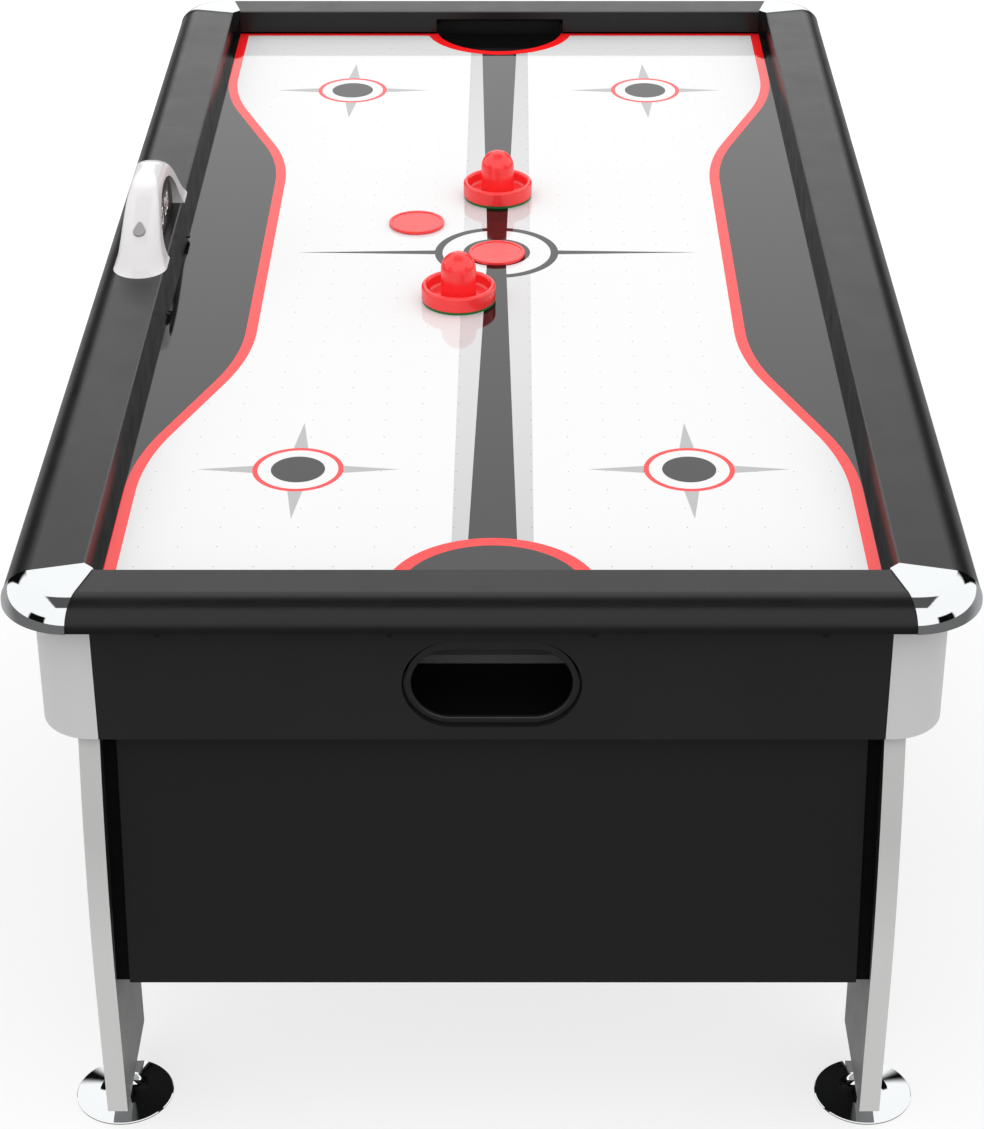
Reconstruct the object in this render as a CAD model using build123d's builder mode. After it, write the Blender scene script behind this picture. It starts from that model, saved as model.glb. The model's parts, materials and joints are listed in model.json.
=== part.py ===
from build123d import *

import os
from math import radians, sqrt, tan

# Air hockey table: cabinet, legs, air chamber, blower, scorer, strikers and pucks.
# Millimetres, +Z up. The origin is on the floor below the middle of the table.
# +Y runs along the table from the near end to the far end, +X points to the right.
# The signs sx and sy choose the left or right side and the near or far end.

os.makedirs("parts", exist_ok=True)

# Overall sizes
TABLE_LENGTH = 2280.0
TABLE_WIDTH = 1219.0
FIELD_TOP = 787.0
WALL_HEIGHT = 45.0
HALF_LENGTH = TABLE_LENGTH / 2
HALF_WIDTH = TABLE_WIDTH / 2

# Rails
SIDE_RAIL = 103.0
END_RAIL = 92.5
RAIL_THICK = 38.0
RAIL_SEAT = 38.0
RAIL_TOP = FIELD_TOP + WALL_HEIGHT
RAIL_BOTTOM = RAIL_TOP - RAIL_THICK
INNER_X = HALF_WIDTH - SIDE_RAIL
INNER_Y = HALF_LENGTH - END_RAIL
GOAL_WIDTH = 241.0
GOAL_HEIGHT = 29.0
GOAL_DEPTH = 52.5
EDGE_EASE = 2.0

# Corner caps
CHAMFER = 12.5
SEAM_SLOPE = tan(radians(15))
CAP_PROUD = 1.5
CAP_RADIUS = 96.0
CAP_WALL = 4.0
CAP_TOP = RAIL_TOP + CAP_PROUD
CORNER_CUT = 26.0
BLOCK_MARGIN = 1.0
STUB_IN = 14.0
STUB_WIDTH = 20.0

# Playing field and air chamber
FIELD_THICK = 15.0
FIELD_BOTTOM = FIELD_TOP - FIELD_THICK
FIELD_X = INNER_X + RAIL_SEAT
FIELD_Y = INNER_Y + RAIL_SEAT
HOLE_PITCH = 50.8
HOLE_RADIUS = 0.8
HOLES_ACROSS = 19
HOLES_ALONG = 41
BATTEN_HEIGHT = 30.0
SIDE_BATTEN = 60.0
END_BATTEN = 20.0
SPACER = 36.0
SPACER_PITCH = 7 * HOLE_PITCH
CHAMBER_Y = INNER_Y - 7.5
CHAMBER_BOTTOM = FIELD_BOTTOM - BATTEN_HEIGHT
SHEET_THICK = 4.0
SHEET_BOTTOM = CHAMBER_BOTTOM - SHEET_THICK

# Aprons and corner posts
APRON_X = 573.5
APRON_Y = 1104.0
APRON_THICK = 15.0
APRON_BOTTOM = 616.0
APRON_HEIGHT = RAIL_BOTTOM - APRON_BOTTOM
POST_RADIUS = 70.0
POST_REACH = 77.5
APRON_IN_X = APRON_X - APRON_THICK
APRON_IN_Y = APRON_Y - APRON_THICK

# Puck return
BEZEL_Z = 697.5
BEZEL_WIDTH = 225.0
BEZEL_HEIGHT = 125.6
BEZEL_RECESS = 7.0
BEZEL_THICK = 5.0
BEZEL_ROUND = 3.0
MOUTH_ROUND = 2.0
MOUTH_Z = 694.5
MOUTH_WIDTH = 202.0
MOUTH_HEIGHT = 99.0
BOX_HALF_X = 118.0
BOX_WALL = 3.0
BOX_BOTTOM = 637.0
BOX_TOP = 735.0
BOX_BACK = 960.0
DROP_OVERLAP = 20.0
SENSOR_SIZE = (10.0, 14.0, 18.0)
SENSOR_IN = 20.0
SENSOR_Z = 755.0

# Legs and end panels
LEG_IN = 496.0
LEG_OUT = 523.0
LEG_BOTTOM = 28.0
LEG_BACK = 941.0
LEG_FRONT_IN = 1084.0
LEG_FRONT_TOP = 1094.0
LEG_FRONT_MID = 1122.5
LEG_FRONT_MID_Z = 457.0
LEG_FRONT_LOW = 1136.5
LEG_FRONT_LOW_Z = 280.0
LEG_FRONT_FOOT = 1131.0
LEG_GAP = 0.5
PANEL_X = 478.0
PANEL_THICK = 15.0
PANEL_BOTTOM = 250.0
PANEL_TOP = 634.0
PANEL_FRONT_LOW = 1131.5
PANEL_LEAN = 56.0 / 366.0
CLEAT_RECESS = 4.0
CLEAT_DEPTH = 30.0
CLEAT_LIFT = 1.5
BLOCK_Y = (950.0, 1022.0)
BLOCK_Z = (640.0, SHEET_BOTTOM)
BOLT_HEIGHTS = (665.0, 712.0)
BOLT_HEAD = 8.0
BOLT_HEAD_HEIGHT = 6.0
BOLT_RADIUS = 4.0
BOLT_LENGTH = 52.0

# Levelling feet
FOOT_X = 509.5
FOOT_Y = 1061.0
FOOT_RADIUS = 66.5
FOOT_RIM = 3.5
FOOT_EDGE = 1.0
DOME_MIDDLE = (50.0, 6.0)
CONE_LOW = (34.0, 8.5)
CONE_MIDDLE = (20.0, 15.0)
CONE_HIGH = (9.5, 25.0)
STUD_RADIUS = 6.0
STUD_ROOM = 1.0
STUD_TOP = 90.0
STUD_FIT = 0.05
INSERT_RADIUS = 9.0
INSERT_LENGTH = 22.0
STUD_BORE_TOP = 94.0

# Blower
BLOWER_X = 0.0
BLOWER_Y = 300.0
BLOWER_RADIUS = 95.0
BLOWER_WALL = 3.0
BLOWER_BOTTOM = 660.0
INLET_RADIUS = 50.0
OUTLET_RADIUS = 86.0
EAR_OUT = 6.0
EAR_SIZE = 20.0
EAR_THICK = 4.0
GRILLE_RINGS = (60.0, 45.0, 32.0, 19.0)
GRILLE_BAR = 4.0
GRILLE_SPAN = 116.0
GRILLE_THICK = 3.0
WHEEL_RADIUS = 76.0
WHEEL_IN = 54.0
WHEEL_RING = 6.0
WHEEL_PLATE = 3.0
WHEEL_LOW = BLOWER_BOTTOM + 6.0
WHEEL_HIGH = BLOWER_BOTTOM + 40.0
BLADES = 24
BLADE_LENGTH = 21.0
BLADE_THICK = 2.0
BLADE_ANGLE = 35.0
HUB_RADIUS = 12.0
HUB_LENGTH = 14.0
SHAFT_RADIUS = 4.0
SHAFT_BACK = 6.0
MOTOR_RADIUS = 28.0
MOTOR_BOTTOM = WHEEL_HIGH + 8.0
MOTOR_TOP = SHEET_BOTTOM - 2.0
BRACKET_RADIUS = 91.8
BRACKET_RING = 8.0
BRACKET_ARM = 10.0
BRACKET_THICK = 4.0
ARM_OVERLAP = 1.0

# Scorer on the left rail
SCORER_X = -543.0
SCORER_Y = 5.5
SCORER_STEPS = (
    # height above the rail, half distance between end centres, width
    (0.0, 144.5, 82.0),
    (10.0, 136.5, 73.0),
    (24.0, 127.5, 66.0),
    (50.0, 105.5, 58.0),
    (75.0, 74.0, 51.0),
    (92.0, 42.0, 43.0),
    (102.0, 20.0, 31.0),
    (107.0, 6.0, 14.0),
)
SCORER_WALL = 3.0
ARCH_HALF = 108.0
ARCH_RISE = 80.0
ARCH_CUT = 122.0
DISPLAY_THICK = 40.0
DISPLAY_SHIFT = 2.0
DISPLAY_GAP = 0.3
POCKET_DEPTH = 18.0
WINDOW_WIDTH = 116.0
WINDOW_HEIGHT = 40.0
WINDOW_Z = RAIL_TOP + 32.0
LENS_THICK = 2.0
LENS_EDGE = 8.0
MODULE_SIZE = (8.0, 40.0, 34.0)
MODULE_Y = 30.0
MODULE_BACK = 8.0
BOARD_BACK = 12.8
BOARD_THICK = 1.6
BUTTON_REACH = 127.5
BUTTON_Z = RAIL_TOP + 56.0
BUTTON_NORMAL = (0.592, 0.806)
BUTTON_RADIUS = 9.0
BUTTON_TIP = 3.5
BUTTON_LENGTH = 25.0
BUTTON_PROUD = 2.0
BUTTON_DEPTH = 9.5
BUTTON_ROUND = 1.5
BUTTON_FIT = 0.4
HOLE_OUT = 20.0
HOLE_DEPTH = 34.0

# Strikers and pucks
STRIKER_RADIUS = 56.5
STRIKER_RIM = 27.5
STRIKER_TOP = 79.4
KNOB_RADIUS = 26.8
RIM_WALL = 8.5
TRAY_FLOOR = 9.0
TRAY_DRAFT = 1.0
TRAY_ROUND = 3.0
KNOB_FLARE = 0.4
STRIKER_EDGE = 1.0
FELT_RADIUS = 55.5
FELT_THICK = 3.5
GLIDE_GAP = 0.4
PUCK_RADIUS = 44.5
PUCK_HEIGHT = 5.0
PUCK_RIM = 4.5
PUCK_DISH = 1.0
PUCK_ROUND = 1.0
STRIKERS = (("near", -57.0, -160.0), ("far", 0.5, 250.0))
PUCKS = (("left", -130.0, 132.0), ("centre", 0.5, 11.0))

# Power inlet on the right apron
POWER_Y = 600.0
POWER_Z = 705.0
POWER_WIDTH = 84.0
POWER_HEIGHT = 44.0
POWER_CUT = (72.0, 34.0)
PLATE_THICK = 2.5
PLATE_ROUND = 4.0
WELL_DEPTH = 24.0
SOCKET_Y = POWER_Y + 18.0
SOCKET_WIDTH = 25.0
SOCKET_HEIGHT = 19.0
SOCKET_WALL = 3.0
PIN_LENGTH = 19.0
PIN_WIDTH = 2.0
PIN_HEIGHT = 4.0
PIN_PITCH = 7.0
PIN_LOW = POWER_Z - 2.0
PIN_HIGH = POWER_Z + 3.0
ROCKER_Y = POWER_Y - 22.0
ROCKER_WIDTH = 13.8
ROCKER_LENGTH = 22.0
ROCKER_PIVOT_X = APRON_X + PLATE_THICK - 3.0
ROCKER_HIGH = 5.5
ROCKER_LOW = -3.0
ROCKER_DISH = 1.6
ROCKER_WELL = (15.0, 25.0)
ROCKER_CASE = (23.8, 31.0)
ROCKER_TILT = 8.0
TRUNNION_RADIUS = 1.5
TRUNNION_LENGTH = 19.0
TRUNNION_FIT = 0.2

# Wood screws
SCREW_HEAD = 3.5
SCREW_HEAD_HEIGHT = 1.4
SCREW_SHANK = 1.7
APRON_SCREW = 14.0
FIELD_SCREW = 30.0
SCREW_DROP = 16.0
END_SCREWS_X = (-412.7, -126.4, 126.4, 412.7)
SIDE_SCREWS_Y = (-900.0, -540.0, -180.0, 180.0, 540.0, 900.0)
FIELD_SCREWS = ((-495.5, 82.0), (-495.5, -210.0))


def save(piece, name):
    """Labels a finished piece and writes its STEP file."""
    piece.part.label = name
    export_step(piece.part, f"parts/{name}.step")


def side_name(sx):
    return "left" if sx < 0 else "right"


def end_name(sy):
    return "near" if sy < 0 else "far"


# Rails and corner caps


def side_rail(sx):
    """Board with a quarter-round outer edge, cut at the two slanted cap seams."""
    with BuildPart() as rail:
        with BuildSketch(Plane.XZ):
            with BuildLine():
                Polyline(
                    (sx * HALF_WIDTH, RAIL_BOTTOM),
                    (sx * FIELD_X, RAIL_BOTTOM),
                    (sx * FIELD_X, FIELD_TOP),
                    (sx * INNER_X, FIELD_TOP),
                    (sx * INNER_X, RAIL_TOP - EDGE_EASE),
                    (sx * (INNER_X + EDGE_EASE), RAIL_TOP),
                    (sx * (HALF_WIDTH - RAIL_THICK), RAIL_TOP),
                )
                CenterArc(
                    (sx * (HALF_WIDTH - RAIL_THICK), RAIL_BOTTOM),
                    RAIL_THICK,
                    0 if sx > 0 else 90,
                    90,
                )
            make_face()
        extrude(amount=HALF_LENGTH, both=True)
        inner_end = INNER_Y - CHAMFER
        outer_end = inner_end + SIDE_RAIL * SEAM_SLOPE
        with BuildSketch(Plane.XY.offset(FIELD_TOP)):
            with BuildLine():
                Polyline(
                    (sx * INNER_X, -inner_end),
                    (sx * HALF_WIDTH, -outer_end),
                    (sx * HALF_WIDTH, outer_end),
                    (sx * INNER_X, inner_end),
                    close=True,
                )
            make_face()
        extrude(amount=WALL_HEIGHT, mode=Mode.INTERSECT)
    return rail


def end_rail(sy):
    """Board like the side rails, with the goal pocket cut into its inner face."""
    with BuildPart() as rail:
        with BuildSketch(Plane.YZ):
            with BuildLine():
                Polyline(
                    (sy * HALF_LENGTH, RAIL_BOTTOM),
                    (sy * FIELD_Y, RAIL_BOTTOM),
                    (sy * FIELD_Y, FIELD_TOP),
                    (sy * INNER_Y, FIELD_TOP),
                    (sy * INNER_Y, RAIL_TOP - EDGE_EASE),
                    (sy * (INNER_Y + EDGE_EASE), RAIL_TOP),
                    (sy * (HALF_LENGTH - RAIL_THICK), RAIL_TOP),
                )
                CenterArc(
                    (sy * (HALF_LENGTH - RAIL_THICK), RAIL_BOTTOM),
                    RAIL_THICK,
                    0 if sy > 0 else 90,
                    90,
                )
            make_face()
        extrude(amount=HALF_WIDTH, both=True)
        inner_end = INNER_X - CHAMFER
        outer_end = inner_end + END_RAIL * SEAM_SLOPE
        with BuildSketch(Plane.XY.offset(FIELD_TOP)):
            with BuildLine():
                Polyline(
                    (-inner_end, sy * INNER_Y),
                    (-outer_end, sy * HALF_LENGTH),
                    (outer_end, sy * HALF_LENGTH),
                    (inner_end, sy * INNER_Y),
                    close=True,
                )
            make_face()
        extrude(amount=WALL_HEIGHT, mode=Mode.INTERSECT)
        with Locations((0, sy * (INNER_Y + GOAL_DEPTH / 2), FIELD_TOP + GOAL_HEIGHT / 2)):
            Box(GOAL_WIDTH, GOAL_DEPTH, GOAL_HEIGHT, mode=Mode.SUBTRACT)
    return rail


def cap_plan(sx, sy, inset):
    """The cap's plan: two slanted seams, the inner chamfer and the outer arc."""
    arc_x = HALF_WIDTH + CAP_PROUD - CAP_RADIUS
    arc_y = HALF_LENGTH + CAP_PROUD - CAP_RADIUS
    end_x = INNER_X - CHAMFER + (END_RAIL + CAP_PROUD) * SEAM_SLOPE
    side_y = INNER_Y - CHAMFER + SIDE_RAIL * SEAM_SLOPE
    end_y = arc_y + sqrt(CAP_RADIUS**2 - (end_x - arc_x) ** 2)
    side_x = arc_x + sqrt(CAP_RADIUS**2 - (side_y - arc_y) ** 2)
    middle = CAP_RADIUS * sqrt(0.5)
    with BuildSketch() as plan:
        with BuildLine():
            Polyline(
                (sx * end_x, sy * end_y),
                (sx * (INNER_X - CHAMFER), sy * INNER_Y),
                (sx * INNER_X, sy * (INNER_Y - CHAMFER)),
                (sx * side_x, sy * side_y),
            )
            ThreePointArc(
                (sx * side_x, sy * side_y),
                (sx * (arc_x + middle), sy * (arc_y + middle)),
                (sx * end_x, sy * end_y),
            )
        make_face()
        if inset > 0:
            offset(amount=-inset, kind=Kind.INTERSECTION, mode=Mode.REPLACE)
    return plan.sketch


def top_arc(part, height):
    """The rounded edge at the given height, which the bullnose follows."""
    edges = part.edges().filter_by(GeomType.CIRCLE)
    return edges.filter_by(lambda e: abs(e.center().Z - height) < 0.01)


def corner_cap(sx, sy):
    """Hollow bright cap over the rail joint, open below."""
    with BuildPart() as core:
        with BuildSketch(Plane.XY.offset(RAIL_BOTTOM)):
            add(cap_plan(sx, sy, CAP_WALL))
        extrude(amount=CAP_TOP - CAP_WALL - RAIL_BOTTOM)
        fillet(top_arc(core, CAP_TOP - CAP_WALL), RAIL_THICK - CAP_WALL)
    with BuildPart() as cap:
        with BuildSketch(Plane.XY.offset(RAIL_BOTTOM)):
            add(cap_plan(sx, sy, 0))
        extrude(amount=CAP_TOP - RAIL_BOTTOM)
        fillet(top_arc(cap, CAP_TOP), RAIL_THICK)
        add(core.part, mode=Mode.SUBTRACT)
    return cap


def corner_blocks():
    """Wooden blocks under the caps, standing on the corners of the field board."""
    seat_x = INNER_X - CHAMFER
    seat_y = INNER_Y - CHAMFER
    far_x = FIELD_X - BLOCK_MARGIN
    far_y = FIELD_Y - BLOCK_MARGIN
    with BuildPart() as blocks:
        for sx in (-1, 1):
            for sy in (-1, 1):
                with BuildSketch(Plane.XY.offset(FIELD_TOP)):
                    with BuildLine():
                        Polyline(
                            (sx * seat_x, sy * INNER_Y),
                            (sx * INNER_X, sy * seat_y),
                            (sx * far_x, sy * (seat_y + RAIL_SEAT * SEAM_SLOPE)),
                            (sx * far_x, sy * (far_y - CORNER_CUT)),
                            (sx * (far_x - CORNER_CUT), sy * far_y),
                            (sx * (seat_x + RAIL_SEAT * SEAM_SLOPE), sy * far_y),
                            close=True,
                        )
                    make_face()
                extrude(amount=RAIL_BOTTOM - FIELD_TOP)
                with BuildSketch(Plane.XY.offset(RAIL_BOTTOM)):
                    with Locations((sx * (INNER_X + STUB_IN), sy * (INNER_Y + STUB_IN))):
                        Rectangle(STUB_WIDTH, STUB_WIDTH)
                extrude(amount=CAP_TOP - CAP_WALL - RAIL_BOTTOM)
    return blocks


# Playing field and air chamber


def playfield():
    """Field board with the grid of air holes and a cut-out behind each goal."""
    with BuildPart() as board:
        with BuildSketch(Plane.XY.offset(FIELD_BOTTOM)) as outline:
            Rectangle(2 * FIELD_X, 2 * FIELD_Y)
            chamfer(outline.vertices(), CORNER_CUT)
            with Locations((0, INNER_Y + RAIL_SEAT / 2), (0, -INNER_Y - RAIL_SEAT / 2)):
                Rectangle(GOAL_WIDTH, RAIL_SEAT, mode=Mode.SUBTRACT)
            with GridLocations(HOLE_PITCH, HOLE_PITCH, HOLES_ACROSS, HOLES_ALONG):
                Circle(HOLE_RADIUS, mode=Mode.SUBTRACT)
        extrude(amount=FIELD_THICK)
    return board


def chamber_frame():
    """Battens round the chamber, and blocks that keep the field board flat."""
    with BuildPart() as battens:
        with BuildSketch(Plane.XY.offset(CHAMBER_BOTTOM)):
            Rectangle(2 * FIELD_X, 2 * CHAMBER_Y)
            Rectangle(
                2 * (FIELD_X - SIDE_BATTEN),
                2 * (CHAMBER_Y - END_BATTEN),
                mode=Mode.SUBTRACT,
            )
            with GridLocations(SPACER_PITCH, SPACER_PITCH, 2, 4):
                Rectangle(SPACER, SPACER)
        extrude(amount=BATTEN_HEIGHT)
    return battens


def chamber_sheet():
    """Thin board that closes the air chamber from below, with the blower's hole."""
    with BuildPart() as sheet:
        with BuildSketch(Plane.XY.offset(SHEET_BOTTOM)):
            Rectangle(2 * FIELD_X, 2 * CHAMBER_Y)
            with Locations((BLOWER_X, BLOWER_Y)):
                Circle(OUTLET_RADIUS, mode=Mode.SUBTRACT)
        extrude(amount=SHEET_THICK)
    return sheet


# Aprons and corner posts


def side_apron(sx):
    """Side board. The right one has the cut-out for the power panel."""
    with BuildPart() as apron:
        with Locations((sx * (APRON_X - APRON_THICK / 2), 0, APRON_BOTTOM + APRON_HEIGHT / 2)):
            Box(APRON_THICK, 2 * (APRON_Y - POST_REACH), APRON_HEIGHT)
        if sx > 0:
            with Locations((APRON_X - APRON_THICK / 2, POWER_Y, POWER_Z)):
                Box(APRON_THICK, POWER_CUT[0], POWER_CUT[1], mode=Mode.SUBTRACT)
    return apron


def end_apron(sy):
    """End board with the rounded opening of the puck return and a routed goal drop."""
    with BuildPart() as apron:
        with Locations((0, sy * (APRON_Y - APRON_THICK / 2), APRON_BOTTOM + APRON_HEIGHT / 2)):
            Box(2 * (APRON_X - POST_REACH), APRON_THICK, APRON_HEIGHT)
        with BuildSketch(Plane.XZ.offset(-sy * APRON_Y)):
            with Locations((0, BEZEL_Z)):
                SlotOverall(BEZEL_WIDTH, BEZEL_HEIGHT)
        extrude(amount=sy * APRON_THICK, mode=Mode.SUBTRACT)
        drop_low = BEZEL_Z + BEZEL_HEIGHT / 2 - DROP_OVERLAP
        drop_out = INNER_Y + GOAL_DEPTH
        with Locations((0, sy * (APRON_IN_Y + drop_out) / 2, (drop_low + RAIL_BOTTOM) / 2)):
            Box(
                2 * (BOX_HALF_X - BOX_WALL),
                drop_out - APRON_IN_Y,
                RAIL_BOTTOM - drop_low,
                mode=Mode.SUBTRACT,
            )
    return apron


def corner_post(sx, sy):
    """Silver corner piece of even thickness, rounded between two aprons."""
    centre = (sx * (APRON_X - POST_RADIUS), sy * (APRON_Y - POST_RADIUS))
    end_x = sx * (APRON_X - POST_REACH)
    end_y = sy * (APRON_Y - POST_REACH)
    turn = {(1, 1): 0, (-1, 1): 90, (-1, -1): 180, (1, -1): 270}[(sx, sy)]
    with BuildPart() as post:
        with BuildSketch(Plane.XY.offset(APRON_BOTTOM)):
            with BuildLine():
                CenterArc(centre, POST_RADIUS, turn, 90)
                CenterArc(centre, POST_RADIUS - APRON_THICK, turn, 90)
                Polyline(
                    (sx * APRON_X, centre[1]),
                    (sx * APRON_X, end_y),
                    (sx * APRON_IN_X, end_y),
                    (sx * APRON_IN_X, centre[1]),
                )
                Polyline(
                    (centre[0], sy * APRON_Y),
                    (end_x, sy * APRON_Y),
                    (end_x, sy * APRON_IN_Y),
                    (centre[0], sy * APRON_IN_Y),
                )
            make_face()
        extrude(amount=APRON_HEIGHT)
    return post


# Legs, end panels and feet


def leg(sx, sy):
    """Board leg whose front edge sweeps outwards below the apron."""
    start = LEG_IN if sx > 0 else -LEG_OUT
    below = APRON_BOTTOM - LEG_GAP
    with BuildPart() as board:
        with BuildSketch(Plane.YZ.offset(start)):
            with BuildLine():
                Polyline(
                    (sy * LEG_FRONT_FOOT, LEG_BOTTOM),
                    (sy * LEG_BACK, LEG_BOTTOM),
                    (sy * LEG_BACK, SHEET_BOTTOM),
                    (sy * LEG_FRONT_IN, SHEET_BOTTOM),
                    (sy * LEG_FRONT_IN, below),
                    (sy * LEG_FRONT_TOP, below),
                )
                ThreePointArc(
                    (sy * LEG_FRONT_TOP, below),
                    (sy * LEG_FRONT_MID, LEG_FRONT_MID_Z),
                    (sy * LEG_FRONT_LOW, LEG_FRONT_LOW_Z),
                )
                Line((sy * LEG_FRONT_LOW, LEG_FRONT_LOW_Z), (sy * LEG_FRONT_FOOT, LEG_BOTTOM))
            make_face()
        extrude(amount=LEG_OUT - LEG_IN)
        with BuildSketch(Plane.XY.offset(LEG_BOTTOM)):
            with Locations((sx * FOOT_X, sy * FOOT_Y)):
                Circle(INSERT_RADIUS)
        extrude(amount=INSERT_LENGTH, mode=Mode.SUBTRACT)
        with BuildSketch(Plane.XY.offset(LEG_BOTTOM)):
            with Locations((sx * FOOT_X, sy * FOOT_Y)):
                Circle(STUD_RADIUS + STUD_ROOM)
        extrude(amount=STUD_BORE_TOP - LEG_BOTTOM, mode=Mode.SUBTRACT)
    return board


def leaning_profile(front_low, thick, bottom, top, sy):
    """Side view of an upright board between two heights that leans like the end panel."""
    slant = thick * sqrt(1 + PANEL_LEAN**2)
    front_bottom = front_low - (bottom - PANEL_BOTTOM) * PANEL_LEAN
    front_top = front_low - (top - PANEL_BOTTOM) * PANEL_LEAN
    with BuildSketch() as profile:
        with BuildLine():
            Polyline(
                (sy * front_bottom, bottom),
                (sy * (front_bottom - slant), bottom),
                (sy * (front_top - slant), top),
                (sy * front_top, top),
                close=True,
            )
        make_face()
    return profile.sketch


def end_panel(sy):
    with BuildPart() as panel:
        with BuildSketch(Plane.YZ):
            add(leaning_profile(PANEL_FRONT_LOW, PANEL_THICK, PANEL_BOTTOM, PANEL_TOP, sy))
        extrude(amount=PANEL_X, both=True)
    return panel


def panel_cleats():
    """Battens that join the end panels to their legs."""
    front_low = PANEL_FRONT_LOW - CLEAT_RECESS
    bottom = PANEL_BOTTOM + CLEAT_LIFT
    with BuildPart() as cleats:
        for sy in (-1, 1):
            for x_low in (-LEG_IN, PANEL_X):
                with BuildSketch(Plane.YZ.offset(x_low)):
                    add(leaning_profile(front_low, CLEAT_DEPTH, bottom, PANEL_TOP, sy))
                extrude(amount=LEG_IN - PANEL_X)
    return cleats


def leg_blocks():
    """Blocks that carry the legs' load into the aprons."""
    with BuildPart() as blocks:
        for sx in (-1, 1):
            for sy in (-1, 1):
                middle = (
                    sx * (LEG_OUT + APRON_IN_X) / 2,
                    sy * (BLOCK_Y[0] + BLOCK_Y[1]) / 2,
                    (BLOCK_Z[0] + BLOCK_Z[1]) / 2,
                )
                with Locations(middle):
                    Box(APRON_IN_X - LEG_OUT, BLOCK_Y[1] - BLOCK_Y[0], BLOCK_Z[1] - BLOCK_Z[0])
    return blocks


def leg_bolts():
    """Two hexagon bolts through each leg into its block."""
    with BuildPart() as bolts:
        for sx in (-1, 1):
            with BuildSketch(Plane.YZ.offset(sx * LEG_IN)):
                with Locations(*bolt_places()):
                    RegularPolygon(BOLT_HEAD, 6)
            extrude(amount=-sx * BOLT_HEAD_HEIGHT)
            with BuildSketch(Plane.YZ.offset(sx * LEG_IN)):
                with Locations(*bolt_places()):
                    Circle(BOLT_RADIUS)
            extrude(amount=sx * BOLT_LENGTH)
    return bolts


def bolt_places():
    """Centres of the leg bolts, as (y, z), for both ends."""
    middle = (BLOCK_Y[0] + BLOCK_Y[1]) / 2
    return [(sy * middle, z) for sy in (-1, 1) for z in BOLT_HEIGHTS]


def leveling_foot(sx, sy):
    """Round foot: domed plate, flared cone and a stud that screws into the leg."""
    with BuildPart() as foot:
        with BuildSketch(Plane.XZ):
            with BuildLine():
                Polyline(
                    (0, 0),
                    (FOOT_RADIUS - FOOT_EDGE, 0),
                    (FOOT_RADIUS, FOOT_EDGE),
                    (FOOT_RADIUS, FOOT_RIM - FOOT_EDGE),
                    (FOOT_RADIUS - FOOT_EDGE, FOOT_RIM),
                )
                ThreePointArc((FOOT_RADIUS - FOOT_EDGE, FOOT_RIM), DOME_MIDDLE, CONE_LOW)
                ThreePointArc(CONE_LOW, CONE_MIDDLE, CONE_HIGH)
                Polyline(
                    CONE_HIGH,
                    (STUD_RADIUS, CONE_HIGH[1]),
                    (STUD_RADIUS, STUD_TOP),
                    (0, STUD_TOP),
                    (0, 0),
                )
            make_face()
        revolve(axis=Axis.Z)
    with BuildPart() as placed:
        with Locations((sx * FOOT_X, sy * FOOT_Y, 0)):
            add(foot.part)
    return placed


def foot_inserts():
    """Threaded sleeves in the bottom ends of the legs."""
    with BuildPart() as inserts:
        with BuildSketch(Plane.XY.offset(LEG_BOTTOM)):
            with GridLocations(2 * FOOT_X, 2 * FOOT_Y, 2, 2):
                Circle(INSERT_RADIUS)
                Circle(STUD_RADIUS + STUD_FIT, mode=Mode.SUBTRACT)
        extrude(amount=INSERT_LENGTH)
    return inserts


# Puck return


def return_bezel(sy):
    """Rounded frame set back in the apron's opening."""
    depth = APRON_Y - BEZEL_RECESS
    with BuildPart() as bezel:
        with BuildSketch(Plane.XZ.offset(-sy * depth)):
            with Locations((0, BEZEL_Z)):
                SlotOverall(BEZEL_WIDTH, BEZEL_HEIGHT)
            with Locations((0, MOUTH_Z)):
                SlotOverall(MOUTH_WIDTH, MOUTH_HEIGHT, mode=Mode.SUBTRACT)
        extrude(amount=sy * BEZEL_THICK)
        front = bezel.faces().sort_by(Axis.Y)[-1 if sy > 0 else 0]
        mouth = front.inner_wires()[0].edges()
        fillet(front.outer_wire().edges(), BEZEL_ROUND)
        fillet(mouth, MOUTH_ROUND)
    return bezel


def return_box(sy):
    """Tray with a throat: a puck drops down the throat and lies behind the opening."""
    inner_x = BOX_HALF_X - BOX_WALL
    throat_back = INNER_Y
    with BuildPart() as box:
        with BuildSketch(Plane.YZ.offset(-BOX_HALF_X)):
            with BuildLine():
                Polyline(
                    (sy * APRON_IN_Y, BOX_BOTTOM),
                    (sy * BOX_BACK, BOX_BOTTOM),
                    (sy * BOX_BACK, BOX_TOP),
                    (sy * (throat_back - BOX_WALL), BOX_TOP),
                    (sy * (throat_back - BOX_WALL), FIELD_BOTTOM),
                    (sy * APRON_IN_Y, FIELD_BOTTOM),
                    close=True,
                )
            make_face()
        extrude(amount=2 * BOX_HALF_X)
        with BuildSketch(Plane.YZ.offset(-inner_x)):
            with BuildLine():
                Polyline(
                    (sy * APRON_IN_Y, BOX_BOTTOM + BOX_WALL),
                    (sy * (BOX_BACK + BOX_WALL), BOX_BOTTOM + BOX_WALL),
                    (sy * (BOX_BACK + BOX_WALL), BOX_TOP - BOX_WALL),
                    (sy * throat_back, BOX_TOP - BOX_WALL),
                    (sy * throat_back, FIELD_BOTTOM),
                    (sy * APRON_IN_Y, FIELD_BOTTOM),
                    close=True,
                )
            make_face()
        extrude(amount=2 * inner_x, mode=Mode.SUBTRACT)
    return box


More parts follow.
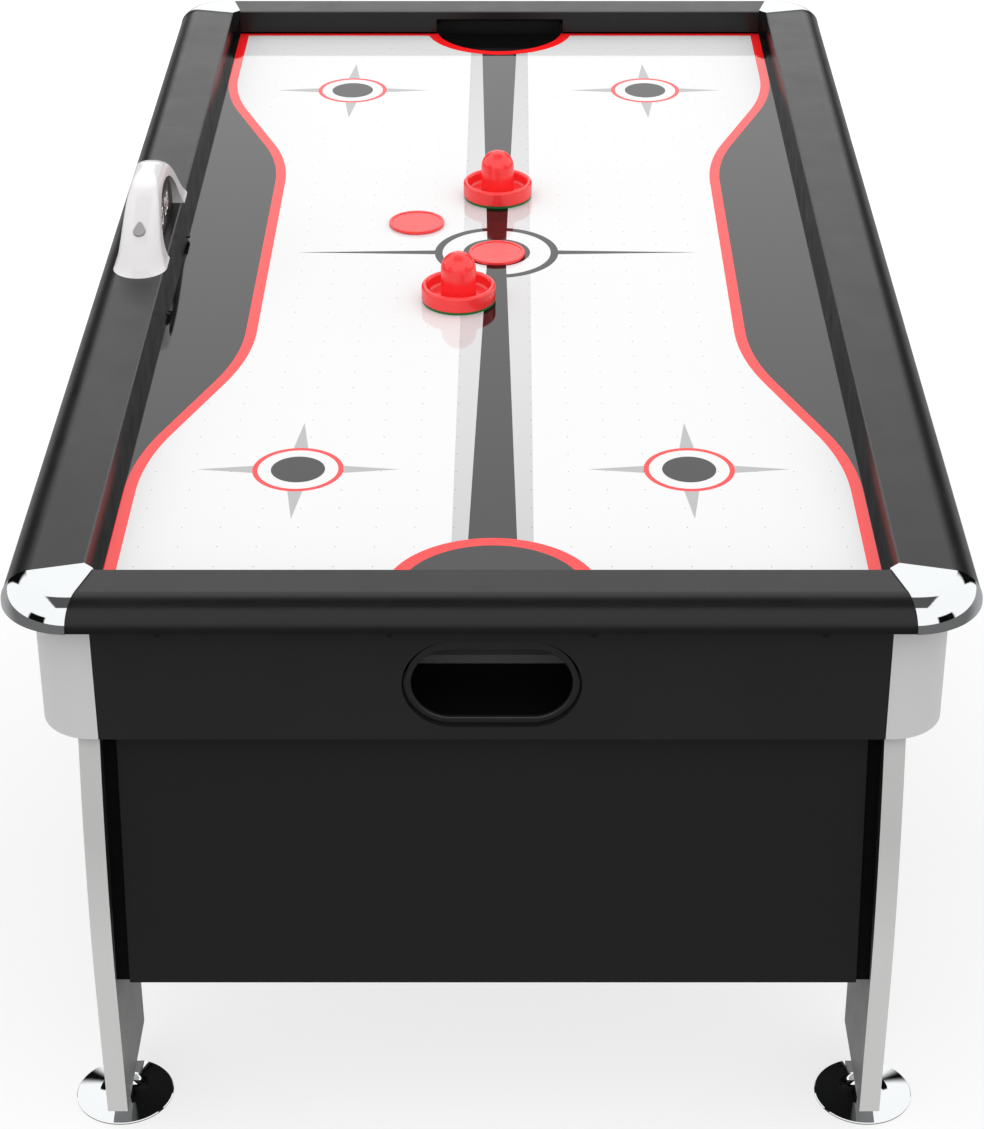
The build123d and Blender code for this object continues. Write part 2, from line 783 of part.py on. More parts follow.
def goal_sensors():
    """Light gates on both sides of each throat that report a goal to the scorer."""
    with BuildPart() as sensors:
        x = BOX_HALF_X + SENSOR_SIZE[0] / 2
        y = INNER_Y + SENSOR_IN
        with Locations(*[(sx * x, sy * y, SENSOR_Z) for sx in (-1, 1) for sy in (-1, 1)]):
            Box(*SENSOR_SIZE)
    return sensors


# Blower


def blower_housing():
    """Open-topped round case with the air inlet in its floor."""
    with BuildPart() as housing:
        with BuildSketch(Plane.XY.offset(BLOWER_BOTTOM)):
            with Locations((BLOWER_X, BLOWER_Y)):
                Circle(BLOWER_RADIUS)
        extrude(amount=SHEET_BOTTOM - BLOWER_BOTTOM)
        with BuildSketch(Plane.XY.offset(BLOWER_BOTTOM + BLOWER_WALL)):
            with Locations((BLOWER_X, BLOWER_Y)):
                Circle(BLOWER_RADIUS - BLOWER_WALL)
        extrude(amount=SHEET_BOTTOM - BLOWER_BOTTOM - BLOWER_WALL, mode=Mode.SUBTRACT)
        with BuildSketch(Plane.XY.offset(BLOWER_BOTTOM)):
            with Locations((BLOWER_X, BLOWER_Y)):
                Circle(INLET_RADIUS)
        extrude(amount=BLOWER_WALL, mode=Mode.SUBTRACT)
        with BuildSketch(Plane.XY.offset(SHEET_BOTTOM - EAR_THICK)):
            with Locations((BLOWER_X, BLOWER_Y)):
                with PolarLocations(BLOWER_RADIUS + EAR_OUT, 4, start_angle=45):
                    Rectangle(EAR_SIZE, EAR_SIZE)
                Circle(BLOWER_RADIUS - BLOWER_WALL, mode=Mode.SUBTRACT)
        extrude(amount=EAR_THICK)
    return housing


def blower_grille():
    """Finger guard below the inlet: rings joined by bars."""
    with BuildPart() as grille:
        with BuildSketch(Plane.XY.offset(BLOWER_BOTTOM - GRILLE_THICK)):
            with Locations((BLOWER_X, BLOWER_Y)):
                for radius in GRILLE_RINGS:
                    Circle(radius)
                    Circle(radius - GRILLE_BAR, mode=Mode.SUBTRACT)
                Rectangle(GRILLE_SPAN, GRILLE_BAR)
                Rectangle(GRILLE_BAR, GRILLE_SPAN)
        extrude(amount=GRILLE_THICK)
    return grille


def blower_motor():
    """Round motor hung from a three-armed bracket across the outlet."""
    with BuildPart() as motor:
        with BuildSketch(Plane.XY.offset(MOTOR_BOTTOM)):
            with Locations((BLOWER_X, BLOWER_Y)):
                Circle(MOTOR_RADIUS)
                Circle(SHAFT_RADIUS + STUD_FIT, mode=Mode.SUBTRACT)
        extrude(amount=MOTOR_TOP - MOTOR_BOTTOM)
        with BuildSketch(Plane.XY.offset(SHEET_BOTTOM - BRACKET_THICK)):
            with Locations((BLOWER_X, BLOWER_Y)):
                Circle(BRACKET_RADIUS)
                Circle(BRACKET_RADIUS - BRACKET_RING, mode=Mode.SUBTRACT)
                with PolarLocations((MOTOR_RADIUS + BRACKET_RADIUS) / 2 - ARM_OVERLAP, 3):
                    Rectangle(BRACKET_RADIUS - MOTOR_RADIUS, BRACKET_ARM)
        extrude(amount=BRACKET_THICK)
    return motor


def blower_shaft():
    with BuildPart() as shaft:
        with BuildSketch(Plane.XY.offset(WHEEL_HIGH - HUB_LENGTH)):
            with Locations((BLOWER_X, BLOWER_Y)):
                Circle(SHAFT_RADIUS)
        extrude(amount=MOTOR_TOP - SHAFT_BACK - WHEEL_HIGH + HUB_LENGTH)
    return shaft


def blower_wheel():
    """Fan wheel: back plate, hub, blades and front ring."""
    with BuildPart() as wheel:
        with BuildSketch(Plane.XY.offset(WHEEL_HIGH - WHEEL_PLATE)):
            with Locations((BLOWER_X, BLOWER_Y)):
                Circle(WHEEL_RADIUS)
        extrude(amount=WHEEL_PLATE)
        with BuildSketch(Plane.XY.offset(WHEEL_HIGH - HUB_LENGTH)):
            with Locations((BLOWER_X, BLOWER_Y)):
                Circle(HUB_RADIUS)
        extrude(amount=HUB_LENGTH)
        with BuildSketch(Plane.XY.offset(WHEEL_LOW)):
            with Locations((BLOWER_X, BLOWER_Y)):
                Circle(WHEEL_RADIUS)
                Circle(WHEEL_RADIUS - WHEEL_RING, mode=Mode.SUBTRACT)
        extrude(amount=WHEEL_PLATE)
        with BuildSketch(Plane.XY.offset(WHEEL_LOW + WHEEL_PLATE)):
            with Locations((BLOWER_X, BLOWER_Y)):
                with PolarLocations((WHEEL_RADIUS + WHEEL_IN) / 2, BLADES):
                    Rectangle(BLADE_LENGTH, BLADE_THICK, rotation=BLADE_ANGLE)
        extrude(amount=WHEEL_HIGH - WHEEL_LOW - 2 * WHEEL_PLATE)
        with BuildSketch(Plane.XY.offset(WHEEL_HIGH - HUB_LENGTH)):
            with Locations((BLOWER_X, BLOWER_Y)):
                Circle(SHAFT_RADIUS)
        extrude(amount=HUB_LENGTH, mode=Mode.SUBTRACT)
    return wheel


# Scorer


def scorer_form(inset):
    """The scorer's outer form, or its inner form with the walls taken off."""
    with BuildPart() as form:
        for height, half, width in SCORER_STEPS:
            level = RAIL_TOP + max(height - inset, 0)
            with BuildSketch(Plane.XY.offset(level)):
                with Locations((SCORER_X, SCORER_Y)):
                    SlotCenterToCenter(2 * half, width - 2 * inset, rotation=90)
        loft()
    return form


def arch_form(half, rise, x_low, width):
    """Half an ellipse standing on the rail, along X."""
    with BuildPart() as form:
        with BuildSketch(Plane.YZ.offset(x_low)):
            with Locations((SCORER_Y, RAIL_TOP)):
                Ellipse(half, rise)
            with Locations((SCORER_Y, RAIL_TOP - rise)):
                Rectangle(2 * half, 2 * rise, mode=Mode.SUBTRACT)
        extrude(amount=width)
    return form


def teardrop(sy, fit, rise, depth):
    """Drop-shaped plug in the sloping face of one scorer leg, pointing upwards."""
    out_y, out_z = BUTTON_NORMAL
    face = Plane(
        origin=(
            SCORER_X,
            SCORER_Y + sy * (BUTTON_REACH + rise * out_y),
            BUTTON_Z + rise * out_z,
        ),
        x_dir=(-sy, 0, 0),
        z_dir=(0, sy * out_y, out_z),
    )
    with BuildPart() as drop:
        with BuildSketch(face):
            with Locations((0, BUTTON_RADIUS - BUTTON_LENGTH / 2)):
                Circle(BUTTON_RADIUS + fit)
            with Locations((0, BUTTON_LENGTH / 2 - BUTTON_TIP)):
                Circle(BUTTON_TIP + fit)
            make_hull()
        extrude(amount=-depth)
    return drop


def scorer_shell():
    """White arch that stands on the left rail, hollow and open below."""
    outer = scorer_form(0)
    inner = scorer_form(SCORER_WALL)
    x_low = SCORER_X - ARCH_CUT / 2
    lining = arch_form(ARCH_HALF + SCORER_WALL, ARCH_RISE + SCORER_WALL, x_low, ARCH_CUT)
    opening = arch_form(ARCH_HALF, ARCH_RISE, x_low, ARCH_CUT)
    with BuildPart() as hollow:
        add(inner.part)
        add(lining.part, mode=Mode.SUBTRACT)
    with BuildPart() as shell:
        add(outer.part)
        add(hollow.part, mode=Mode.SUBTRACT)
        add(opening.part, mode=Mode.SUBTRACT)
        for sy in (-1, 1):
            hole = teardrop(sy, BUTTON_FIT, HOLE_OUT, HOLE_DEPTH)
            add(hole.part, mode=Mode.SUBTRACT)
    return shell


def scorer_button(sy):
    with BuildPart() as button:
        add(teardrop(sy, 0, BUTTON_PROUD, BUTTON_DEPTH).part)
        top = button.faces().filter_by(GeomType.PLANE).sort_by(Axis.Z)[-1]
        fillet(top.edges(), BUTTON_ROUND)
    return button


def scorer_display():
    """Dark housing that fills the arch, with the display pocket facing the field."""
    x_high = display_face()
    x_low = x_high - DISPLAY_THICK
    half = ARCH_HALF - DISPLAY_GAP
    rise = ARCH_RISE - DISPLAY_GAP
    with BuildPart() as display:
        add(arch_form(half, rise, x_low, DISPLAY_THICK).part)
        with Locations((x_high - POCKET_DEPTH / 2, SCORER_Y, WINDOW_Z)):
            Box(POCKET_DEPTH, WINDOW_WIDTH, WINDOW_HEIGHT, mode=Mode.SUBTRACT)
        add(scorer_lens().part, mode=Mode.SUBTRACT)
    return display


def display_face():
    """X of the display housing's face towards the field."""
    return SCORER_X + DISPLAY_SHIFT + DISPLAY_THICK / 2


def scorer_lens():
    with BuildPart() as lens:
        with Locations((display_face() - LENS_THICK / 2, SCORER_Y, WINDOW_Z)):
            Box(LENS_THICK, WINDOW_WIDTH + LENS_EDGE, WINDOW_HEIGHT + LENS_EDGE)
    return lens


def scorer_board():
    """Circuit board with two display modules soldered to it, behind the lens."""
    with BuildPart() as board:
        with Locations(
            (display_face() - MODULE_BACK, SCORER_Y - MODULE_Y, WINDOW_Z),
            (display_face() - MODULE_BACK, SCORER_Y + MODULE_Y, WINDOW_Z),
        ):
            Box(*MODULE_SIZE)
        with Locations((display_face() - BOARD_BACK, SCORER_Y, WINDOW_Z)):
            Box(BOARD_THICK, WINDOW_WIDTH, WINDOW_HEIGHT)
    return board


# Strikers and pucks


def striker_body(x, y):
    """Ring with a raised rim, a hollow tray and a domed knob."""
    low = FELT_THICK
    dome = STRIKER_TOP - KNOB_RADIUS
    rim_round = RIM_WALL / 2
    rim_in = STRIKER_RADIUS - RIM_WALL
    with BuildPart() as striker:
        with BuildSketch(Plane.XZ):
            with BuildLine():
                Polyline(
                    (0, low),
                    (STRIKER_RADIUS - STRIKER_EDGE, low),
                    (STRIKER_RADIUS, low + STRIKER_EDGE),
                    (STRIKER_RADIUS, STRIKER_RIM - rim_round),
                )
                ThreePointArc(
                    (STRIKER_RADIUS, STRIKER_RIM - rim_round),
                    (STRIKER_RADIUS - rim_round, STRIKER_RIM),
                    (rim_in, STRIKER_RIM - rim_round),
                )
                Polyline(
                    (rim_in, STRIKER_RIM - rim_round),
                    (rim_in - TRAY_DRAFT, TRAY_FLOOR + TRAY_ROUND),
                    (rim_in - TRAY_DRAFT - TRAY_ROUND, TRAY_FLOOR),
                    (KNOB_RADIUS + KNOB_FLARE, TRAY_FLOOR),
                    (KNOB_RADIUS, dome),
                )
                CenterArc((0, dome), KNOB_RADIUS, 0, 90)
                Line((0, STRIKER_TOP), (0, low))
            make_face()
        revolve(axis=Axis.Z)
    with BuildPart() as placed:
        with Locations((x, y, FIELD_TOP + GLIDE_GAP)):
            add(striker.part)
    return placed


def striker_felt(x, y):
    with BuildPart() as felt:
        with BuildSketch(Plane.XY.offset(FIELD_TOP + GLIDE_GAP)):
            with Locations((x, y)):
                Circle(FELT_RADIUS)
        extrude(amount=FELT_THICK)
    return felt


def puck(x, y):
    """Flat disc with a shallow dish in its top."""
    with BuildPart() as disc:
        with BuildSketch(Plane.XY.offset(FIELD_TOP + GLIDE_GAP)):
            with Locations((x, y)):
                Circle(PUCK_RADIUS)
        extrude(amount=PUCK_HEIGHT)
        fillet(disc.edges().filter_by(GeomType.CIRCLE), PUCK_ROUND)
        with BuildSketch(Plane.XY.offset(FIELD_TOP + GLIDE_GAP + PUCK_HEIGHT)):
            with Locations((x, y)):
                Circle(PUCK_RADIUS - PUCK_RIM)
        extrude(amount=-PUCK_DISH, mode=Mode.SUBTRACT)
    return disc


# Power panel


def power_panel():
    """Plate on the right apron with a well for the rocker and the inlet's socket."""
    behind = APRON_X - WELL_DEPTH / 2
    cut_x = APRON_X + PLATE_THICK - WELL_DEPTH / 2
    with BuildPart() as panel:
        with Locations((APRON_X + PLATE_THICK / 2, POWER_Y, POWER_Z)):
            Box(PLATE_THICK, POWER_WIDTH, POWER_HEIGHT)
        fillet(panel.edges().filter_by(Axis.X), PLATE_ROUND)
        with Locations((behind, SOCKET_Y, POWER_Z)):
            Box(WELL_DEPTH, SOCKET_WIDTH + 2 * SOCKET_WALL, SOCKET_HEIGHT + 2 * SOCKET_WALL)
        with Locations((behind, ROCKER_Y, POWER_Z)):
            Box(WELL_DEPTH, ROCKER_CASE[0], ROCKER_CASE[1])
        with Locations((cut_x, SOCKET_Y, POWER_Z)):
            Box(WELL_DEPTH, SOCKET_WIDTH, SOCKET_HEIGHT, mode=Mode.SUBTRACT)
        with Locations((cut_x, ROCKER_Y, POWER_Z)):
            Box(WELL_DEPTH, ROCKER_WELL[0], ROCKER_WELL[1], mode=Mode.SUBTRACT)
        with Locations((ROCKER_PIVOT_X, ROCKER_Y, POWER_Z)):
            Cylinder(
                TRUNNION_RADIUS + STUD_FIT,
                TRUNNION_LENGTH + 2 * TRUNNION_FIT,
                rotation=(90, 0, 0),
                mode=Mode.SUBTRACT,
            )
    return panel


def power_pins():
    """Three flat pins of the inlet, standing on the socket's back wall."""
    back = APRON_X + PLATE_THICK - WELL_DEPTH
    with BuildPart() as pins:
        with Locations(
            (back + PIN_LENGTH / 2, SOCKET_Y - PIN_PITCH, PIN_LOW),
            (back + PIN_LENGTH / 2, SOCKET_Y, PIN_HIGH),
            (back + PIN_LENGTH / 2, SOCKET_Y + PIN_PITCH, PIN_LOW),
        ):
            Box(PIN_LENGTH, PIN_WIDTH, PIN_HEIGHT)
    return pins


def power_rocker():
    """Rocker with two trunnions, drawn level and then tipped to its off side."""
    with BuildPart() as level:
        with BuildSketch(Plane.XZ):
            with BuildLine():
                Polyline(
                    (ROCKER_LOW, -ROCKER_LENGTH / 2),
                    (ROCKER_HIGH, -ROCKER_LENGTH / 2),
                    (ROCKER_HIGH - ROCKER_DISH, 0),
                    (ROCKER_HIGH, ROCKER_LENGTH / 2),
                    (ROCKER_LOW, ROCKER_LENGTH / 2),
                    close=True,
                )
            make_face()
        extrude(amount=ROCKER_WIDTH / 2, both=True)
        Cylinder(TRUNNION_RADIUS, TRUNNION_LENGTH, rotation=(90, 0, 0))
    with BuildPart() as rocker:
        with Locations(Location((ROCKER_PIVOT_X, ROCKER_Y, POWER_Z), (0, ROCKER_TILT, 0))):
            add(level.part)
    return rocker


# Fasteners


def screw_row(face, places, out, length):
    """A flat head outside a face and a shank behind it at each place."""
    with BuildPart() as row:
        with BuildSketch(face):
            with Locations(*places):
                Circle(SCREW_HEAD)
        extrude(amount=out * SCREW_HEAD_HEIGHT)
        with BuildSketch(face):
            with Locations(*places):
                Circle(SCREW_SHANK)
        extrude(amount=-out * length)
    return row.part


def dark_screws():
    """Screws along the top of every apron, and two beside the left wall of the field."""
    high = FIELD_TOP - SCREW_DROP
    end_places = [(x, high) for x in END_SCREWS_X]
    side_places = [(y, high) for y in SIDE_SCREWS_Y]
    with BuildPart() as screws:
        for sy in (-1, 1):
            add(screw_row(Plane.XZ.offset(-sy * APRON_Y), end_places, -sy, APRON_SCREW))
        for sx in (-1, 1):
            add(screw_row(Plane.YZ.offset(sx * APRON_X), side_places, sx, APRON_SCREW))
        add(screw_row(Plane.XY.offset(FIELD_TOP), FIELD_SCREWS, 1, FIELD_SCREW))
    return screws


def write_table():
    save(playfield(), "playfield")
    save(chamber_frame(), "chamber_frame")
    save(chamber_sheet(), "chamber_sheet")
    save(corner_blocks(), "corner_blocks")
    save(leg_blocks(), "leg_blocks")
    save(leg_bolts(), "leg_bolts")
    save(foot_inserts(), "foot_inserts")
    save(dark_screws(), "dark_screws")
    save(panel_cleats(), "panel_cleats")
    for sx in (-1, 1):
        save(side_rail(sx), f"side_rail_{side_name(sx)}")
        save(side_apron(sx), f"side_apron_{side_name(sx)}")
    for sy in (-1, 1):
        end = end_name(sy)
        save(end_rail(sy), f"end_rail_{end}")
        save(end_apron(sy), f"end_apron_{end}")
        save(end_panel(sy), f"end_panel_{end}")
        save(return_bezel(sy), f"return_bezel_{end}")
        save(return_box(sy), f"return_box_{end}")
        for sx in (-1, 1):
            corner = f"{end}_{side_name(sx)}"
            save(corner_cap(sx, sy), f"corner_cap_{corner}")
            save(corner_post(sx, sy), f"corner_post_{corner}")
            save(leg(sx, sy), f"leg_{corner}")
            save(leveling_foot(sx, sy), f"leveling_foot_{corner}")


def write_fittings():
    save(goal_sensors(), "goal_sensors")
    save(blower_housing(), "blower_housing")
    save(blower_grille(), "blower_grille")
    save(blower_motor(), "blower_motor")
    save(blower_shaft(), "blower_shaft")
    save(blower_wheel(), "blower_wheel")
    save(power_panel(), "power_panel")
    save(power_pins(), "power_pins")
    save(power_rocker(), "power_rocker")
    save(scorer_shell(), "scorer_shell")
    save(scorer_display(), "scorer_display")
    save(scorer_lens(), "scorer_lens")
    save(scorer_board(), "scorer_board")
    save(scorer_button(-1), "scorer_button_near")
    save(scorer_button(1), "scorer_button_far")


def write_game_pieces():
    for end, x, y in STRIKERS:
        save(striker_body(x, y), f"striker_body_{end}")
        save(striker_felt(x, y), f"striker_felt_{end}")
    for place, x, y in PUCKS:
        save(puck(x, y), f"puck_{place}")


write_table()
write_fittings()
write_game_pieces()
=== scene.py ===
import json
import math

import bpy
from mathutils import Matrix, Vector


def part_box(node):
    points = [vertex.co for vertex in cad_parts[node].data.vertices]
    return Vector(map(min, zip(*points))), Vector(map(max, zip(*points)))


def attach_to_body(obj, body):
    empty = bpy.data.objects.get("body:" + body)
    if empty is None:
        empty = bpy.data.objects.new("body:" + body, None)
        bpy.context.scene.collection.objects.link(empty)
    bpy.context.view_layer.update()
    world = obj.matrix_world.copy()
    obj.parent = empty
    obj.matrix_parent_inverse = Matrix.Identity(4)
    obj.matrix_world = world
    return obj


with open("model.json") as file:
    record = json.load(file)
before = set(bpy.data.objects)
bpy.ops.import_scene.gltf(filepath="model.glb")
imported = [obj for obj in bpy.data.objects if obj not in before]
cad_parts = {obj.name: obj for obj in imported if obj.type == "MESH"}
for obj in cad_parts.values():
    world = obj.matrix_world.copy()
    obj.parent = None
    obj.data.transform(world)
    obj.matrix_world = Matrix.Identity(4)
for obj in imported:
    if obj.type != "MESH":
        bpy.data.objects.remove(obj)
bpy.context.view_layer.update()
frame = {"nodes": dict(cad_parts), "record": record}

# Air hockey table: looks. Metres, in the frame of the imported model.
# The table stands on Z = 0, +Y runs from the near end to the far end.

FIELD_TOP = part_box("playfield")[1][2]
WALL_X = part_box("side_rail_right")[0][0]
WALL_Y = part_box("end_rail_far")[0][1]
PANEL_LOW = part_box("end_panel_near")[0][2]
LEG_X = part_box("leg_near_right")[0][0]
RETURN_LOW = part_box("return_box_near")[0][2]

# Printed design, symmetrical about the line X = 0, Y = PRINT_Y
PRINT_Y = 0.0195
FILM = 0.00004
HOLE_PITCH = 0.0508
HOLE_RADIUS = 0.0009
STRIPE = 0.0165
STRIPE_OUT = 0.4865
STRIPE_IN = 0.3645
BEND_IN = 0.378
BEND_OUT = 0.701
BEND_RADIUS = 0.48
BORDER_Y = 1.0365
BAND_HALF = 0.0532
TIE_HALF = 0.0152
TIE_GROWTH = 0.0182
CENTRE_DISC = 0.053
CENTRE_RING = (0.0857, 0.0978)
TIE_START = CENTRE_DISC * 0.9
LINE_START = CENTRE_RING[0] * 1.05
LINE_REACH = 0.315
LINE_HALF = 0.0075
CREASE_Y = 1.0495
CREASE_RADIUS = 0.138
CREASE_LINE = 0.019
FACE_OFF = (0.2653, 0.724)
FACE_OFF_RING = (0.0548, 0.0618)
FACE_OFF_DISC = 0.0367
STAR_START = FACE_OFF_RING[1] - 0.002
STAR_REACH = 0.137
STAR_HALF = 0.0102

# Straight steps along the printed curves
BEND_STEPS = 16
NOTCH_STEPS = 24
CREASE_STEPS = 64
CIRCLE_STEPS = 96

# Score digits on the scorer's lens
DIGIT_PLACES = (-0.042, -0.019, 0.019, 0.042)
DIGIT_HALF = (0.0065, 0.0125)
BAR_HALF = 0.0015
BAR_GAP = 0.0005

# Where painted light and shade change with place, in metres
SEAM_SHADOW = 0.0035
PANEL_SHADE = (PANEL_LOW - 0.08, PANEL_LOW + 0.12)
LIT_WALL = RETURN_LOW + 0.016
BEZEL_RIM = 0.0045
BEZEL_FADE = (0, 0.02)
CREST_HIGHLIGHT_SHARE = (0.86, 0.92)

# Where paint, and painted light and shade, change with direction: how far a surface faces along
# an axis, from -1 to 1
TOP_FACE = 0.9
EDGE_HIGHLIGHT_FACING = (0.1, 0.4)
LEANING = (0.02, 0.12)
LEG_LEANING = (0.02, 0.14)
UPRIGHT = (0.5, 0.9)

# Limits for Surface.outwards, on faces towards the table's middle, which get painted light and
# shade
RAIL_INWARDS = -0.1
CAP_INWARDS = -0.2
LEG_INWARDS = -0.9 * LEG_X

# Studio: brightness of the light panels, of the dark places between them and of the floor
SKY_LIGHT = 1.4
FLOOR_LIGHT = 0.3
MIRRORED_FLOOR = 0.2
MIRRORED_FAR_FLOOR = 0.5
GAP_LIGHT = 0.005
ZENITH_LIGHT = 0.12

# Studio: directions, as sines, tangents or angles in radians
HORIZON_SOFT = 0.02
FAR_EDGE = 0.3
FAR_SOFT = 0.3
ZENITH_HALF = (0.45, 0.42)
# Each gap between two light panels: its first and last angle from +Y, and its height
GAPS = ((0.3, 0.8, 0.5), (1.95, 2.4, 0.35))

FLOOR_SIZE = 24
FLOOR_PLACE = (0, 4, 0)
FLOOR_GLOW = (0.72, 0.91)
FLOOR_GLOW_Y = (-0.5, 2.5)

# Camera: lens and sensor in millimetres, shift as a share of the frame, dip in degrees
LENS = 87.66
SENSOR = 36
SHIFT = (-0.0199, -0.0413)
CAMERA_PLACE = (0.0283, -3.9854, 2.5587)
CAMERA_DIP = 29.38


# Node trees


class Nodes:
    """Shorthand for building a node tree."""

    def __init__(self, tree):
        self.tree = tree

    def node(self, kind, **settings):
        made = self.tree.nodes.new(kind)
        for key, value in settings.items():
            setattr(made, key, value)
        return made

    def link(self, source, target):
        self.tree.links.new(source, target)

    def math(self, operation, a, b=0.0):
        made = self.node("ShaderNodeMath", operation=operation)
        for socket, value in zip(made.inputs, (a, b)):
            if isinstance(value, (int, float)):
                socket.default_value = value
            else:
                self.link(value, socket)
        return made.outputs[0]

    def component(self, vector, axis):
        split = self.node("ShaderNodeSeparateXYZ")
        self.link(vector, split.inputs[0])
        return split.outputs["XYZ".index(axis)]


class Surface(Nodes):
    """A Principled material under construction."""

    def __init__(self, name, colour, roughness, **sockets):
        self.material = bpy.data.materials.new(name)
        self.material.use_nodes = True
        super().__init__(self.material.node_tree)
        self.shader = self.tree.nodes["Principled BSDF"]
        self.shader.inputs["Base Color"].default_value = (*colour, 1)
        self.shader.inputs["Roughness"].default_value = roughness
        for socket, value in sockets.items():
            self.shader.inputs[socket.replace("_", " ")].default_value = value
        self.place = self.node("ShaderNodeTexCoord").outputs["Object"]

    def noise(self, scale, detail=3, stretch=(1, 1, 1)):
        """Noise over the object, in features per metre."""
        mapping = self.node("ShaderNodeMapping")
        mapping.inputs["Scale"].default_value = stretch
        self.link(self.place, mapping.inputs["Vector"])
        texture = self.node("ShaderNodeTexNoise")
        texture.inputs["Scale"].default_value = scale
        texture.inputs["Detail"].default_value = detail
        self.link(mapping.outputs[0], texture.inputs["Vector"])
        return texture.outputs["Fac"]

    def spread(self, value, low, high, start=0.3, stop=0.7):
        """low where the value is at start or below, high where it is at stop or above."""
        made = self.node("ShaderNodeMapRange")
        made.inputs["From Min"].default_value = start
        made.inputs["From Max"].default_value = stop
        made.inputs["To Min"].default_value = low
        made.inputs["To Max"].default_value = high
        self.link(value, made.inputs["Value"])
        return made.outputs[0]

    def rise(self, value, start, stop):
        """A mask: 0 up to start and 1 from stop on."""
        return self.spread(value, 0, 1, start, stop)

    def vary_roughness(self, value, low, high):
        self.link(self.spread(value, low, high), self.shader.inputs["Roughness"])

    def mix(self, factor, first, second):
        made = self.node("ShaderNodeMix", data_type="RGBA")
        self.link(factor, made.inputs[0])
        for socket, value in ((made.inputs[6], first), (made.inputs[7], second)):
            if isinstance(value, tuple):
                socket.default_value = (*value, 1)
            else:
                self.link(value, socket)
        return made.outputs[2]

    def colour(self, source):
        self.link(source, self.shader.inputs["Base Color"])

    def bump(self, height, distance, strength):
        made = self.node("ShaderNodeBump")
        made.inputs["Strength"].default_value = strength
        made.inputs["Distance"].default_value = distance
        self.link(height, made.inputs["Height"])
        self.link(made.outputs[0], self.shader.inputs["Normal"])

    def facing(self, axis):
        """How far the surface faces along a world axis, from -1 to 1."""
        return self.component(self.node("ShaderNodeNewGeometry").outputs["Normal"], axis)

    def position(self, axis):
        """The world coordinate along an axis, in metres."""
        return self.component(self.node("ShaderNodeNewGeometry").outputs["Position"], axis)

    def outwards(self, axis):
        """Positive where the surface faces away from the table's middle along an axis."""
        return self.math("MULTIPLY", self.facing(axis), self.position(axis))


def grey(value):
    return (value, value, value)


def shaded(colour, factor):
    return tuple(channel * factor for channel in colour)


# Materials


def gloss_film(name, colour):
    """Printed film under clear gloss, as on the field."""
    film = Surface(name, colour, roughness=0.05, IOR=1.5)
    film.vary_roughness(film.noise(60, detail=2), low=0.035, high=0.06)
    film.bump(film.noise(25, detail=1), distance=0.00002, strength=0.3)
    return film


def hole_mask(film):
    """1 on the air holes' grid and 0 elsewhere."""
    squares = []
    for axis in "XY":
        near = film.math("PINGPONG", film.component(film.place, axis), HOLE_PITCH / 2)
        squares.append(film.math("MULTIPLY", near, near))
    return film.math("LESS_THAN", film.math("ADD", *squares), HOLE_RADIUS**2)


def print_film(name, colour, end_shade=1):
    """One ink, with painted shade towards the ends of the table, and the air holes' shade painted
    as dark dots.
    """
    film = gloss_film(name, colour)
    offset = film.math("SUBTRACT", film.component(film.place, "Y"), PRINT_Y)
    to_end = film.rise(film.math("ABSOLUTE", offset), 0, WALL_Y)
    # Painted shade: the ink darker towards both ends, by end_shade.
    ink = film.mix(to_end, colour, shaded(colour, end_shade))
    # Painted shade of the air holes: dark dots.
    film.colour(film.mix(hole_mask(film), ink, shaded(colour, 0.1)))
    return film.material


def field_board():
    """White film on top, bare board on the sides and below."""
    white = (0.675, 0.675, 0.678)
    board = (0.40, 0.29, 0.18)
    film = gloss_film("field_board", white)
    grain = film.node("ShaderNodeMix", data_type="RGBA", blend_type="MULTIPLY")
    grain.inputs[0].default_value = 1
    grain.inputs[6].default_value = (*board, 1)
    film.link(film.spread(film.noise(900, detail=4), low=0.75, high=1.1), grain.inputs[7])
    on_top = film.math("GREATER_THAN", film.facing("Z"), TOP_FACE)
    mottle = film.mix(film.noise(8, detail=2), white, shaded(white, 0.985))
    film.colour(film.mix(on_top, grain.outputs[2], mottle))
    return film.material


def raw_board():
    board = Surface("raw_board", (0.5, 0.37, 0.24), roughness=0.8)
    fibres = board.noise(1200, detail=5)
    board.colour(board.mix(fibres, (0.56, 0.43, 0.29), (0.42, 0.30, 0.18)))
    board.bump(fibres, distance=0.0001, strength=0.5)
    return board.material


def rail_film():
    """Black satin film with a fine leather-like grain.

    It has a painted highlight along the inner edge, and a painted black shadow line where it
    meets the field.
    """
    black = (0.006, 0.006, 0.0062)
    film = Surface("rail_film", black, roughness=0.3, IOR=1.365)
    inwards = film.math("MINIMUM", film.outwards("X"), film.outwards("Y"))
    inner = film.math("LESS_THAN", inwards, RAIL_INWARDS)
    # Painted highlight: light grey on the eased inner edge.
    edge = film.math("MULTIPLY", inner, film.rise(film.facing("Z"), *EDGE_HIGHLIGHT_FACING))
    # Painted shadow: black without reflection on the inner face just above the field.
    low = film.math("LESS_THAN", film.position("Z"), FIELD_TOP + SEAM_SHADOW)
    seam_shadow = film.math("MULTIPLY", inner, low)
    plain = film.mix(film.noise(6, detail=3), black, shaded(black, 0.8))
    film.colour(film.mix(seam_shadow, film.mix(edge, plain, grey(0.1)), grey(0.0005)))
    film.link(seam_shadow, film.shader.inputs["Metallic"])
    film.vary_roughness(film.noise(20, detail=4), low=0.27, high=0.34)
    film.bump(film.noise(1500, detail=2), distance=0.00003, strength=0.35)
    return film.material


